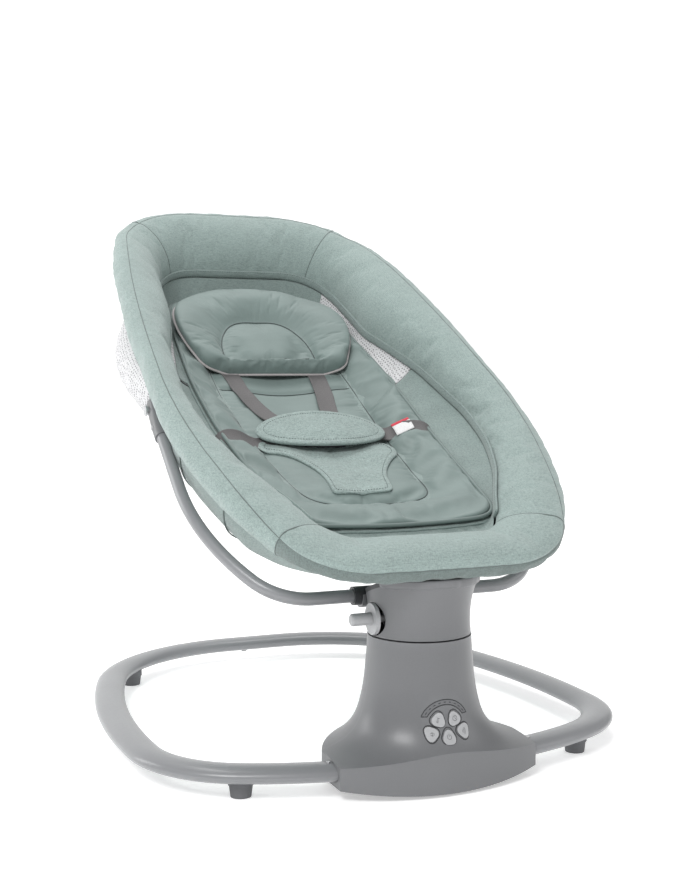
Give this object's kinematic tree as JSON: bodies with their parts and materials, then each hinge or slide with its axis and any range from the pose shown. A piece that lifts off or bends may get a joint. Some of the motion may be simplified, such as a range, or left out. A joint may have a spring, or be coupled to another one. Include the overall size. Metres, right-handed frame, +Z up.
{
  "type": "baby swing",
  "caption": "Padded reclining baby seat on two curved arms over a swivelling motor post with push buttons, standing on an oval floor ring.",
  "frame": {"origin": "on the floor, in the middle of the whole plan", "axes": "+X across the seat, +Y from the foot end to the head end, +Z up"},
  "size_m": [0.5734, 0.7508, 0.6591],
  "materials": {
    "grey_tube": "satin powder coat",
    "grey_plastic": "fine satin moulding",
    "dark_plastic": "fine moulding",
    "light_plastic": "smooth moulding",
    "window_plastic": "smoked, glossy",
    "rubber": "matt",
    "steel": "zinc plated",
    "casting": "die cast",
    "board": "circuit board",
    "motor_steel": "plated can",
    "gear_plastic": "natural acetal",
    "rim_fabric": "heathered sage weave",
    "cushion_fabric": "smooth quilted sage",
    "mesh_fabric": "open mesh",
    "webbing": "ribbed webbing"
  },
  "bodies": {
    "base": {"base_tube_left": "grey_tube", "base_tube_right": "grey_tube", "base_tube_sleeve": "steel", "rubber_feet": "rubber", "housing_front_shell": "grey_plastic", "housing_rear_shell": "grey_plastic", "control_panel_window": "window_plastic", "dc_inlet_jack": "dark_plastic", "housing_bottom_plate": "dark_plastic", "housing_screws": "steel", "tube_clamps": "dark_plastic", "tube_end_screws": "steel", "inner_frame": "casting", "swivel_bearings": "steel", "gear_motor": "motor_steel", "main_circuit_board": "board", "button_circuit_board": "board", "speaker": "dark_plastic"},
    "swing_arms": {"neck_front_shell": "grey_plastic", "neck_rear_bracket": "dark_plastic", "neck_core": "casting", "neck_screws": "steel", "swivel_shaft": "steel", "sector_gear": "gear_plastic", "arm_left": "grey_tube", "arm_right": "grey_tube", "hub_left": "grey_plastic", "hub_right": "grey_plastic", "lock_spring": "rubber"},
    "seat": {"seat_frame_foot_tube": "grey_tube", "seat_frame_head_tube": "grey_tube", "seat_bracket_left": "dark_plastic", "seat_bracket_right": "dark_plastic", "pivot_pins": "steel", "rim_pad_foot": "rim_fabric", "rim_pad_head": "rim_fabric", "rim_pad_left": "rim_fabric", "rim_pad_right": "rim_fabric", "seat_liner": "rim_fabric", "mesh_window_left": "mesh_fabric", "mesh_window_right": "mesh_fabric", "seat_cushion": "cushion_fabric", "head_pillow": "cushion_fabric", "waist_pad": "rim_fabric", "crotch_pad": "rim_fabric", "harness_buckle": "dark_plastic", "shoulder_strap_left": "webbing", "shoulder_strap_right": "webbing", "waist_strap_left": "webbing", "waist_strap_right": "webbing"},
    "button_music": {"button_music": "light_plastic"},
    "button_timer": {"button_timer": "light_plastic"},
    "button_volume": {"button_volume": "light_plastic"},
    "button_speed": {"button_speed": "light_plastic"},
    "button_power": {"button_power": "light_plastic"},
    "base_snap_button": {"base_snap_button": "light_plastic"},
    "drive_pinion": {"drive_pinion": "gear_plastic"},
    "swing_lock_knob": {"swing_lock_knob": "light_plastic"},
    "hub_snap_button_left": {"hub_snap_button_left": "light_plastic"},
    "hub_snap_button_right": {"hub_snap_button_right": "light_plastic"}
  },
  "joints": [
    {"name": "neck_swivel", "type": "hinge", "parent": "base", "child": "swing_arms", "pos_m": [0, -0.2969, 0.15], "axis": [0, 0, 1], "range_deg": [-12, 12]},
    {"name": "pinion_spin", "type": "hinge", "parent": "base", "child": "drive_pinion", "pos_m": [0, -0.2579, 0.095], "axis": [0, 0, 1], "range_deg": [-41, 41]},
    {"name": "seat_recline", "type": "hinge", "parent": "swing_arms", "child": "seat", "pos_m": [0, 0.0028, 0.37059], "axis": [1, 0, 0], "range_deg": [-18, 0]},
    {"name": "button_music_press", "type": "slide", "parent": "base", "child": "button_music", "axis": [0, 1, 0], "range_m": [0, 0.001], "stiffness_N_per_m": 300},
    {"name": "button_timer_press", "type": "slide", "parent": "base", "child": "button_timer", "axis": [0, 1, 0], "range_m": [0, 0.001], "stiffness_N_per_m": 300},
    {"name": "button_volume_press", "type": "slide", "parent": "base", "child": "button_volume", "axis": [0, 1, 0], "range_m": [0, 0.001], "stiffness_N_per_m": 300},
    {"name": "button_speed_press", "type": "slide", "parent": "base", "child": "button_speed", "axis": [0, 1, 0], "range_m": [0, 0.001], "stiffness_N_per_m": 300},
    {"name": "button_power_press", "type": "slide", "parent": "base", "child": "button_power", "axis": [0, 1, 0], "range_m": [0, 0.001], "stiffness_N_per_m": 300},
    {"name": "base_snap_press", "type": "slide", "parent": "base", "child": "base_snap_button", "axis": [0, 0, 1], "range_m": [0, 0.0025], "stiffness_N_per_m": 600},
    {"name": "swing_lock_push", "type": "slide", "parent": "swing_arms", "child": "swing_lock_knob", "axis": [1, 0, 0], "range_m": [0, 0.004], "stiffness_N_per_m": 400},
    {"name": "hub_snap_left_press", "type": "slide", "parent": "swing_arms", "child": "hub_snap_button_left", "axis": [1, 0, 0], "range_m": [0, 0.003], "stiffness_N_per_m": 500},
    {"name": "hub_snap_right_press", "type": "slide", "parent": "swing_arms", "child": "hub_snap_button_right", "axis": [-1, 0, 0], "range_m": [0, 0.003], "stiffness_N_per_m": 500}
  ],
  "couplings": [
    {"joint": "pinion_spin", "follows": "neck_swivel", "ratio": -3.3333}
  ]
}
